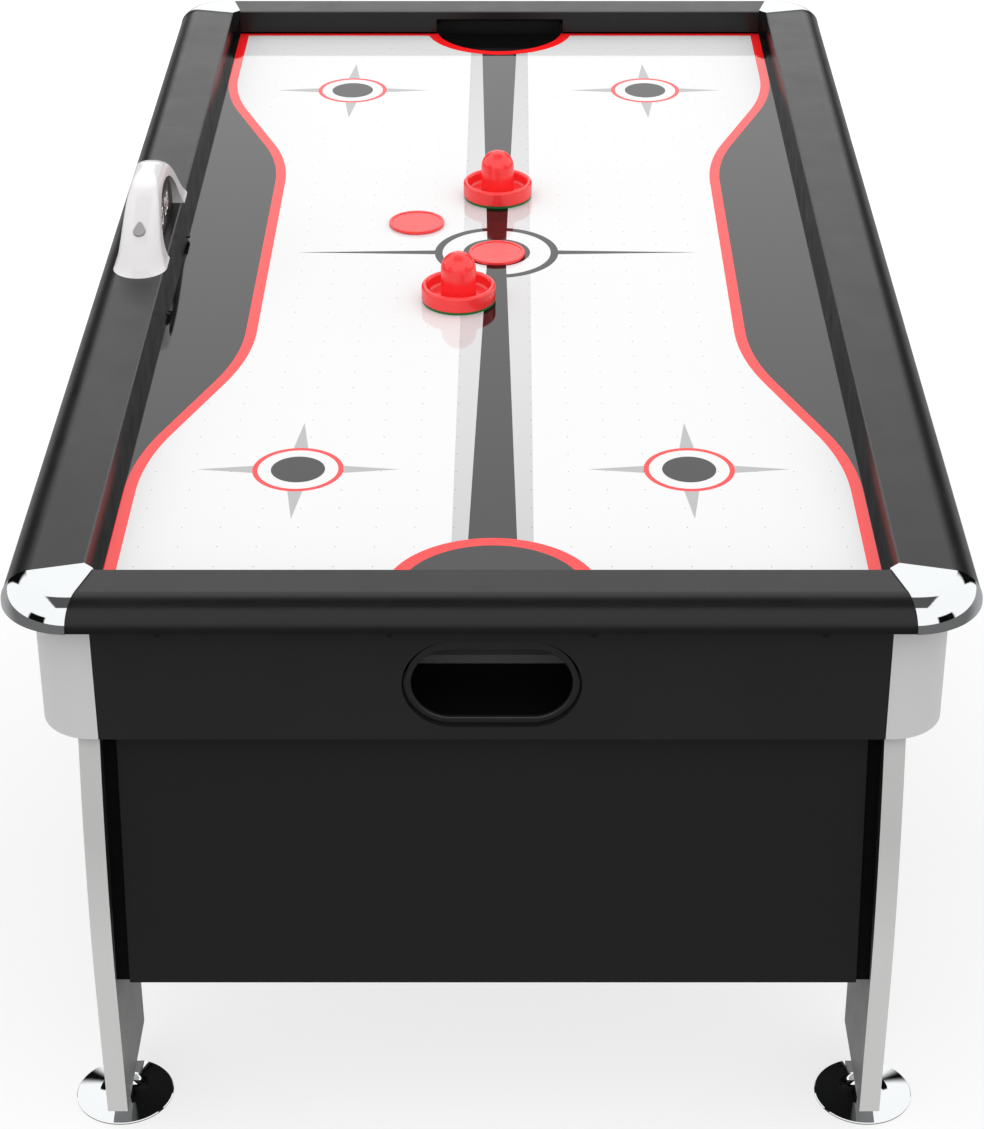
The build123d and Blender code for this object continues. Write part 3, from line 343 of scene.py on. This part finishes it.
def black_laminate():
    """Matt black, with painted shade that makes the leaning end panels darker."""
    black = (0.021, 0.021, 0.0215)
    laminate = Surface("black_laminate", black, roughness=0.5, IOR=1.25)
    mottle = laminate.mix(laminate.noise(5, detail=3), black, shaded(black, 0.8))
    # Painted shade: the leaning end panels darker.
    leaning = laminate.rise(laminate.facing("Z"), *LEANING)
    laminate.colour(laminate.mix(leaning, mottle, shaded(black, 0.6)))
    laminate.vary_roughness(laminate.noise(30, detail=4), low=0.46, high=0.56)
    laminate.bump(laminate.noise(2200, detail=3), distance=0.00004, strength=0.5)
    return laminate.material


def chrome():
    """Polished plate, with painted near-black shade where the corner caps face the playing field.
    """
    bright = (0.66, 0.675, 0.685)
    metal = Surface("chrome", bright, roughness=0.03, Metallic=1)
    inwards = metal.math("MAXIMUM", metal.outwards("X"), metal.outwards("Y"))
    facing_field = metal.math("LESS_THAN", inwards, CAP_INWARDS)
    raised = metal.math("GREATER_THAN", metal.position("Z"), FIELD_TOP)
    inner = metal.math("MULTIPLY", facing_field, raised)
    # Painted shade: near black on the caps' faces towards the field.
    metal.colour(metal.mix(inner, bright, grey(0.01)))
    metal.vary_roughness(metal.noise(40, detail=4), low=0.015, high=0.045)
    metal.bump(metal.noise(18, detail=2), distance=0.00003, strength=0.15)
    return metal.material


def silver(name, colour, roughness, flake_scale):
    """Silver-grey finish with fine flakes, and the flakes' colour."""
    paint = Surface(name, colour, roughness, Metallic=0.08)
    flakes = paint.noise(flake_scale, detail=2)
    speckle = paint.mix(flakes, shaded(colour, 0.95), shaded(colour, 1.05))
    paint.vary_roughness(paint.noise(25, detail=4), roughness - 0.04, roughness + 0.05)
    paint.bump(flakes, distance=0.00002, strength=0.3)
    return paint, speckle


def post_silver():
    paint, speckle = silver("post_silver", grey(0.68), roughness=0.42, flake_scale=2500)
    paint.colour(speckle)
    return paint.material


def leg_silver():
    """Silver laminate with painted shade: darker on the inner faces, black where they meet the
    end panels, and a little darker on the leaning faces.
    """
    colour = (0.69, 0.685, 0.68)
    paint, speckle = silver("leg_silver", colour, roughness=0.45, flake_scale=2000)
    paint.shader.inputs["Specular IOR Level"].default_value = 0.15
    # Painted shade on the inner faces: dark grey low down, near black higher up behind the end
    # panels.
    shade_behind_panel = paint.rise(paint.position("Z"), *PANEL_SHADE)
    inner = paint.mix(shade_behind_panel, shaded(colour, 0.33), shaded(colour, 0.03))
    inside = paint.math("LESS_THAN", paint.outwards("X"), LEG_INWARDS)
    # Painted shade: the leaning faces a little darker.
    leaning = paint.rise(paint.facing("Z"), *LEG_LEANING)
    outer = paint.mix(leaning, speckle, shaded(colour, 0.78))
    paint.colour(paint.mix(inside, outer, inner))
    return paint.material


def textured_plastic(name, colour, roughness, grain=1800, shine=0.5):
    plastic = Surface(name, colour, roughness, Specular_IOR_Level=shine)
    plastic.colour(plastic.mix(plastic.noise(10), colour, shaded(colour, 0.9)))
    plastic.vary_roughness(plastic.noise(60), roughness - 0.04, roughness + 0.05)
    plastic.bump(plastic.noise(grain, detail=2), distance=0.00004, strength=0.4)
    return plastic.material


def gloss_plastic(name, colour, roughness):
    plastic = Surface(name, colour, roughness, IOR=1.55)
    plastic.colour(plastic.mix(plastic.noise(14, detail=2), colour, shaded(colour, 0.96)))
    plastic.vary_roughness(plastic.noise(90, detail=4), roughness * 0.8, roughness * 1.3)
    plastic.bump(plastic.noise(900, detail=2), distance=0.00001, strength=0.1)
    return plastic.material


def scorer_plastic():
    """Glossy white, with a painted highlight on the top of the arch."""
    white = (0.63, 0.612, 0.618)
    plastic = Surface("scorer_white", white, roughness=0.12, IOR=1.55)
    low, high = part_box("scorer_shell")
    highlight_heights = [low[2] + share * (high[2] - low[2]) for share in CREST_HIGHLIGHT_SHARE]
    # Painted highlight: the top of the arch lighter.
    top = plastic.rise(plastic.position("Z"), *highlight_heights)
    plastic.colour(plastic.mix(top, white, shaded(white, 1.2)))
    plastic.vary_roughness(plastic.noise(90, detail=4), low=0.1, high=0.16)
    plastic.bump(plastic.noise(900, detail=2), distance=0.00001, strength=0.1)
    return plastic.material


def return_tray():
    """Black plastic, with painted light on its back wall, where light from the opening would
    fall.
    """
    tray = Surface("return_tray", grey(0.004), roughness=0.6, Specular_IOR_Level=0.2)
    # Painted light on the upright walls: grey, and lighter below LIT_WALL.
    upright = tray.rise(tray.math("ABSOLUTE", tray.facing("Y")), *UPRIGHT)
    low = tray.math("LESS_THAN", tray.position("Z"), LIT_WALL)
    wall = tray.mix(low, grey(0.05), grey(0.12))
    tray.colour(tray.mix(upright, grey(0.002), wall))
    tray.vary_roughness(tray.noise(60), low=0.55, high=0.65)
    tray.bump(tray.noise(1800, detail=2), distance=0.00004, strength=0.4)
    return tray.material


def return_bezel():
    """Black plastic, with a painted shadow along the upper outer edge."""
    black = grey(0.012)
    bezel = Surface("return_bezel", black, roughness=0.42)
    low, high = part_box("return_bezel_near")
    radius = (high[2] - low[2]) / 2
    height = bezel.math("SUBTRACT", bezel.position("Z"), low[2] + radius)
    side = bezel.math("SUBTRACT", bezel.math("ABSOLUTE", bezel.position("X")), high[0] - radius)
    side = bezel.math("MAXIMUM", side, 0)
    squares = [bezel.math("MULTIPLY", value, value) for value in (height, side)]
    reach = bezel.math("SQRT", bezel.math("ADD", *squares))
    rim = bezel.math("GREATER_THAN", reach, radius - BEZEL_RIM)
    # Painted shadow: near black without reflection on the upper part of the outer rim.
    shadow = bezel.math("MULTIPLY", rim, bezel.rise(height, *BEZEL_FADE))
    bezel.colour(bezel.mix(shadow, black, grey(0.0005)))
    bezel.link(shadow, bezel.shader.inputs["Metallic"])
    bezel.vary_roughness(bezel.noise(60), low=0.38, high=0.47)
    bezel.bump(bezel.noise(1800, detail=2), distance=0.00004, strength=0.4)
    return bezel.material


def brushed_metal(name, colour, roughness):
    metal = Surface(name, colour, roughness, Metallic=1)
    lines = metal.noise(400, stretch=(1, 1, 12))
    metal.vary_roughness(lines, roughness * 0.8, roughness * 1.25)
    metal.bump(lines, distance=0.00003, strength=0.3)
    return metal.material


def felt():
    green = (0.003, 0.13, 0.016)
    cloth = Surface("green_felt", green, roughness=0.95, Sheen_Weight=0.15, Sheen_Roughness=0.6)
    fluff = cloth.noise(1600, detail=5)
    cloth.colour(cloth.mix(fluff, shaded(green, 0.6), shaded(green, 1.3)))
    cloth.bump(fluff, distance=0.0003, strength=0.8)
    return cloth.material


def smoked_lens():
    lens = Surface("smoked_lens", (0.012, 0.008, 0.008), roughness=0.05, IOR=1.5)
    lens.vary_roughness(lens.noise(50), low=0.03, high=0.07)
    return lens.material


def circuit_board():
    green = (0.01, 0.12, 0.04)
    board = Surface("circuit_board", green, roughness=0.4)
    copper = board.rise(board.noise(300, detail=1), 0.49, 0.51)
    board.colour(board.mix(copper, green, (0.03, 0.2, 0.08)))
    return board.material


PAINT = {
    "field_white": field_board(),
    "raw_board": raw_board(),
    "rail_black": rail_film(),
    "board_black": black_laminate(),
    "chrome": chrome(),
    "post_silver": post_silver(),
    "leg_silver": leg_silver(),
    "black_plastic": textured_plastic("black_plastic", grey(0.012), roughness=0.42),
    "dark_steel": brushed_metal("dark_steel", grey(0.03), roughness=0.4),
    "steel": brushed_metal("steel", (0.55, 0.55, 0.56), roughness=0.3),
    "brass": brushed_metal("brass", (0.72, 0.55, 0.25), roughness=0.25),
    "scorer_white": scorer_plastic(),
    "scorer_grey": textured_plastic("scorer_grey", (0.3, 0.29, 0.3), roughness=0.4),
    "dark_lens": smoked_lens(),
    "circuit_green": circuit_board(),
    "red_plastic": gloss_plastic("red_plastic", (0.9, 0.03, 0.032), roughness=0.22),
    "green_felt": felt(),
}


def paint_nodes():
    """Every node by its material slot, apart from the few with a paint of their own."""
    # Near black: partly black paint on the panel cleats and corner blocks, partly painted shade
    # in the gaps beside the end panels and in the corners under the caps.
    dark = textured_plastic("black_paint_and_shade", grey(0.002), roughness=0.85, grain=1200, shine=0.1)
    special = {
        "return_box": return_tray(),
        "return_bezel": return_bezel(),
        "panel_cleats": dark,
        "corner_blocks": dark,
    }
    for row in frame["record"]["subparts"]:
        mesh = frame["nodes"][row["node"]].data
        mesh.materials.clear()
        own = [paint for name, paint in special.items() if row["node"].startswith(name)]
        mesh.materials.append(own[0] if own else PAINT[row["material_slot"]])


# Printed design


def arc(centre, radius, start, stop, steps):
    """Points on a circle, from one angle to another in radians."""
    turns = (start + (stop - start) * step / steps for step in range(steps + 1))
    return [(centre[0] + radius * math.cos(t), centre[1] + radius * math.sin(t)) for t in turns]


def circle(centre, radius):
    return arc(centre, radius, 0, 2 * math.pi, CIRCLE_STEPS)[:-1]


def placed(shape, origin, along):
    """A shape given as distances along and across a direction, moved to origin."""
    return [
        (origin[0] + u * along[0] - v * along[1], origin[1] + u * along[1] + v * along[0])
        for u, v in shape
    ]


def stripe_edge(shift):
    """The stripe's path from the middle of the table outwards, moved outwards by shift."""
    turn = math.atan((STRIPE_OUT - STRIPE_IN) / (BEND_OUT - BEND_IN))
    reach = BEND_RADIUS * math.tan(turn / 2)
    inner_centre = (STRIPE_IN + BEND_RADIUS, BEND_IN - reach)
    outer_centre = (STRIPE_OUT - BEND_RADIUS, BEND_OUT + reach)
    inner = arc(inner_centre, BEND_RADIUS, math.pi, math.pi - turn, BEND_STEPS)
    outer = arc(outer_centre, BEND_RADIUS, -turn, 0, BEND_STEPS)
    path = [(STRIPE_IN, 0), *inner, *outer]
    normals = []
    for index, point in enumerate(path):
        before = path[max(index - 1, 0)]
        after = path[min(index + 1, len(path) - 1)]
        length = math.dist(before, after)
        normals.append(((after[1] - before[1]) / length, -(after[0] - before[0]) / length))
    return [(x + shift * nx, y + shift * ny) for (x, y), (nx, ny) in zip(path, normals)]


def side_path(shift, sx, end_y):
    """The whole stripe edge of one side, from the near end to the far end."""
    half = stripe_edge(shift)
    far = [(sx * x, PRINT_Y + y) for x, y in half]
    near = [(sx * x, PRINT_Y - y) for x, y in half[1:]]
    x_end = half[-1][0]
    return [(sx * x_end, -end_y), *reversed(near), *far, (sx * x_end, end_y)]


def filled(name, outlines, material):
    """A thin flat mesh in the XY plane: the even-odd filling of closed outlines."""
    curve = bpy.data.curves.new(name, "CURVE")
    curve.dimensions = "2D"
    curve.fill_mode = "BOTH"
    curve.extrude = FILM / 2
    for outline in outlines:
        spline = curve.splines.new("POLY")
        spline.points.add(len(outline) - 1)
        for point, (x, y) in zip(spline.points, outline):
            point.co = (x, y, 0, 1)
        spline.use_cyclic_u = True
    drawn = bpy.data.objects.new(name + "_curve", curve)
    bpy.context.scene.collection.objects.link(drawn)
    mesh = bpy.data.meshes.new_from_object(drawn)
    bpy.data.objects.remove(drawn)
    mesh.name = name
    mesh.materials.clear()
    mesh.materials.append(material)
    return mesh


def attach(mesh):
    """Shows a mesh as a piece that rides on the table."""
    piece = bpy.data.objects.new(mesh.name, mesh)
    bpy.context.scene.collection.objects.link(piece)
    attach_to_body(piece, "table")


def plate(name, outlines, layer, material):
    """A printed layer on the field."""
    mesh = filled(name, outlines, material)
    for vertex in mesh.vertices:
        vertex.co.z += FIELD_TOP + FILM * (layer + 0.5)
    attach(mesh)


def clipped_disc(centre_y, radius, side):
    """The part of a disc that lies in front of the end wall."""
    rise = math.asin((WALL_Y - side * centre_y) / radius)
    points = arc((0, 0), radius, math.pi - rise, 2 * math.pi + rise, CREASE_STEPS)
    return [(x, centre_y + side * y) for x, y in points]


def print_side_areas(material):
    outlines = []
    for sx in (-1, 1):
        path = side_path(0, sx, WALL_Y)
        outlines.append([*path, (sx * WALL_X, WALL_Y), (sx * WALL_X, -WALL_Y)])
    plate("print_side_areas", outlines, 1, material)


def print_border(material):
    """The red line along both sides, and along both ends up to the creases."""
    outer = side_path(STRIPE / 2, 1, WALL_Y) + side_path(STRIPE / 2, -1, WALL_Y)[::-1]
    inner = side_path(-STRIPE / 2, 1, BORDER_Y) + side_path(-STRIPE / 2, -1, BORDER_Y)[::-1]
    plate("print_border", [outer, inner], 2, material)


def print_creases(black, red):
    rings = []
    discs = []
    for side in (-1, 1):
        centre_y = PRINT_Y + side * CREASE_Y
        rings.append(clipped_disc(centre_y, CREASE_RADIUS, side))
        discs.append(clipped_disc(centre_y, CREASE_RADIUS - CREASE_LINE, side))
    plate("print_crease_lines", rings, 3, red)
    plate("print_crease_discs", discs, 4, black)


def print_band(material):
    """The light band along the middle, left out inside the centre ring."""
    outlines = []
    reach = math.asin(BAND_HALF / CENTRE_RING[1])
    notch = arc((0, 0), CENTRE_RING[1], math.pi / 2 - reach, math.pi / 2 + reach, NOTCH_STEPS)
    for sy in (-1, 1):
        edge = [(x, PRINT_Y + sy * y) for x, y in notch]
        outlines.append([*edge, (-BAND_HALF, sy * WALL_Y), (BAND_HALF, sy * WALL_Y)])
    plate("print_band", outlines, 0, material)


def print_centre(black):
    """Bow-tie, ring, disc and the tapered centre line."""
    ties = []
    for sy in (-1, 1):
        start = PRINT_Y + sy * TIE_START
        end = sy * WALL_Y
        end_half = TIE_HALF + TIE_GROWTH * abs(end - PRINT_Y)
        ties.append([(-TIE_HALF, start), (TIE_HALF, start), (end_half, end), (-end_half, end)])
    plate("print_bow_tie", ties, 1, black)
    middle = (0, PRINT_Y)
    plate("print_centre_ring", [circle(middle, r) for r in CENTRE_RING], 2, black)
    plate("print_centre_disc", [circle(middle, CENTRE_DISC)], 2, black)
    lines = []
    for sx in (-1, 1):
        start = sx * LINE_START
        tip = (sx * LINE_REACH, PRINT_Y)
        lines.append([(start, PRINT_Y - LINE_HALF), tip, (start, PRINT_Y + LINE_HALF)])
    plate("print_centre_line", lines, 3, black)


def star_arm(centre, turn):
    """One tapered arm of a face-off star, pointing at the angle turn."""
    arm = ((STAR_START, -STAR_HALF), (STAR_REACH, 0), (STAR_START, STAR_HALF))
    return placed(arm, centre, (math.cos(turn), math.sin(turn)))


def print_face_offs(black, red, star):
    centres = [(sx * FACE_OFF[0], PRINT_Y + sy * FACE_OFF[1]) for sx in (-1, 1) for sy in (-1, 1)]
    arms = [star_arm(c, quarter * math.pi / 2) for c in centres for quarter in range(4)]
    plate("print_stars", arms, 0, star)
    plate("print_face_off_rings", [circle(c, r) for c in centres for r in FACE_OFF_RING], 1, red)
    plate("print_face_off_discs", [circle(c, FACE_OFF_DISC) for c in centres], 1, black)


def print_design():
    black = print_film("print_black", grey(0.004))
    red = print_film("print_red", (0.9, 0.012, 0.014))
    band = print_film("print_band_grey", (0.57, 0.57, 0.575), end_shade=0.75)
    star = print_film("print_star_grey", grey(0.36))
    print_side_areas(black)
    print_border(red)
    print_creases(black, red)
    print_band(band)
    print_centre(black)
    print_face_offs(black, red, star)


# Score digits


def segment(start, stop):
    """One six-sided bar of a digit, from start to stop."""
    length = math.dist(start, stop)
    along = ((stop[0] - start[0]) / length, (stop[1] - start[1]) / length)
    low, high = BAR_GAP, length - BAR_GAP
    bar = ((low, 0), (low + BAR_HALF, BAR_HALF), (high - BAR_HALF, BAR_HALF))
    bar += ((high, 0), (high - BAR_HALF, -BAR_HALF), (low + BAR_HALF, -BAR_HALF))
    return placed(bar, start, along)


def zero(centre_y, centre_z):
    """The six bars of a zero."""
    left, right = centre_y - DIGIT_HALF[0], centre_y + DIGIT_HALF[0]
    low, high = centre_z - DIGIT_HALF[1], centre_z + DIGIT_HALF[1]
    corners = [(left, low), (left, centre_z), (left, high)]
    corners += [(right, high), (right, centre_z), (right, low)]
    return [segment(*pair) for pair in zip(corners, corners[1:] + corners[:1])]


def score_digits():
    """Four lit zeros on the face of the scorer's lens."""
    low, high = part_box("scorer_lens")
    middle = (low[1] + high[1]) / 2
    bars = []
    for place in DIGIT_PLACES:
        bars += zero(middle + place, (low[2] + high[2]) / 2)
    lit = Surface("lit_digit", (0.6, 0.55, 0.55), roughness=0.3)
    lit.shader.inputs["Emission Color"].default_value = (1.0, 0.86, 0.84, 1)
    glow = lit.spread(lit.noise(400, detail=2), low=0.5, high=0.7)
    lit.link(glow, lit.shader.inputs["Emission Strength"])
    mesh = filled("score_digits", bars, lit.material)
    for vertex in mesh.vertices:
        y, z, out = vertex.co
        vertex.co = (high[0] + FILM / 2 + out, y, z)
    attach(mesh)


# Studio


def floor():
    """Pale floor with soft shadows, which turns white towards the background."""
    bpy.ops.mesh.primitive_plane_add(size=FLOOR_SIZE, location=FLOOR_PLACE)
    plane = bpy.context.object
    plane.name = "floor"
    plane.visible_glossy = False
    plane.visible_diffuse = False
    paint = Surface("floor_paint", grey(0.22), roughness=1, Specular_IOR_Level=0)
    glow = paint.spread(paint.position("Y"), *FLOOR_GLOW, *FLOOR_GLOW_Y)
    paint.shader.inputs["Emission Color"].default_value = (1, 1, 1, 1)
    paint.link(glow, paint.shader.inputs["Emission Strength"])
    plane.data.materials.append(paint.material)


class Sky(Nodes):
    """The world's light as a function of direction."""

    def __init__(self, world):
        super().__init__(world.node_tree)
        direction = self.node("ShaderNodeTexCoord").outputs["Generated"]
        self.x, self.y, self.z = (self.component(direction, axis) for axis in "XYZ")

    def above(self, value, edge, soft=0.03):
        """0 below the edge and 1 above it, with a soft step."""
        made = self.node("ShaderNodeMapRange", interpolation_type="SMOOTHSTEP")
        made.inputs["From Min"].default_value = edge - soft
        made.inputs["From Max"].default_value = edge + soft
        self.link(value, made.inputs["Value"])
        return made.outputs[0]

    def below(self, value, edge):
        return self.math("SUBTRACT", 1, self.above(value, edge))

    def pick(self, factor, first, second):
        """first where factor is 0, second where it is 1."""
        step = self.math("MULTIPLY", self.math("SUBTRACT", second, first), factor)
        return self.math("ADD", first, step)

    def gap(self, start, stop, height):
        """A dark column on both sides, by the angle from +Y and the height above the floor."""
        turn = self.math("ARCTAN2", self.math("ABSOLUTE", self.x), self.y)
        between = self.math("SUBTRACT", self.above(turn, start), self.above(turn, stop))
        return self.math("MULTIPLY", between, self.below(self.z, height))

    def zenith(self):
        """A dark rectangle straight overhead."""
        slopes = [self.math("DIVIDE", self.math("ABSOLUTE", v), self.z) for v in (self.x, self.y)]
        inside = [self.below(slope, half) for slope, half in zip(slopes, ZENITH_HALF)]
        return self.math("MULTIPLY", *inside)


def sky():
    """Even white light from above, and a little from below as from a pale floor.

    Only mirror-like surfaces show the gaps between the light panels.
    """
    world = bpy.data.worlds.new("studio")
    bpy.context.scene.world = world
    world.use_nodes = True
    light = Sky(world)
    upper = light.above(light.z, 0, HORIZON_SOFT)
    lit = light.pick(light.zenith(), SKY_LIGHT, ZENITH_LIGHT)
    for gap in GAPS:
        lit = light.pick(light.gap(*gap), lit, GAP_LIGHT)
    far = light.above(light.y, FAR_EDGE, FAR_SOFT)
    mirrored_floor = light.pick(far, MIRRORED_FLOOR, MIRRORED_FAR_FLOOR)
    mirrored_light = light.pick(upper, mirrored_floor, lit)
    scattered_light = light.pick(upper, FLOOR_LIGHT, SKY_LIGHT)
    path = light.node("ShaderNodeLightPath")
    strength = light.pick(path.outputs["Is Glossy Ray"], scattered_light, mirrored_light)
    strength = light.pick(path.outputs["Is Camera Ray"], strength, SKY_LIGHT)
    background = world.node_tree.nodes["Background"]
    background.inputs["Color"].default_value = (1, 1, 1, 1)
    light.link(strength, background.inputs["Strength"])


def camera():
    """The photograph's viewpoint: over the near end, looking down along the table."""
    data = bpy.data.cameras.new("camera")
    data.lens = LENS
    data.sensor_width = SENSOR
    data.shift_x, data.shift_y = SHIFT
    view = bpy.data.objects.new("camera", data)
    view.location = CAMERA_PLACE
    view.rotation_euler = (math.radians(90 - CAMERA_DIP), 0, 0)
    bpy.context.scene.collection.objects.link(view)
    bpy.context.scene.camera = view


def look():
    settings = bpy.context.scene.view_settings
    settings.view_transform = "Standard"
    settings.look = "None"


paint_nodes()
print_design()
score_digits()
floor()
sky()
camera()
look()
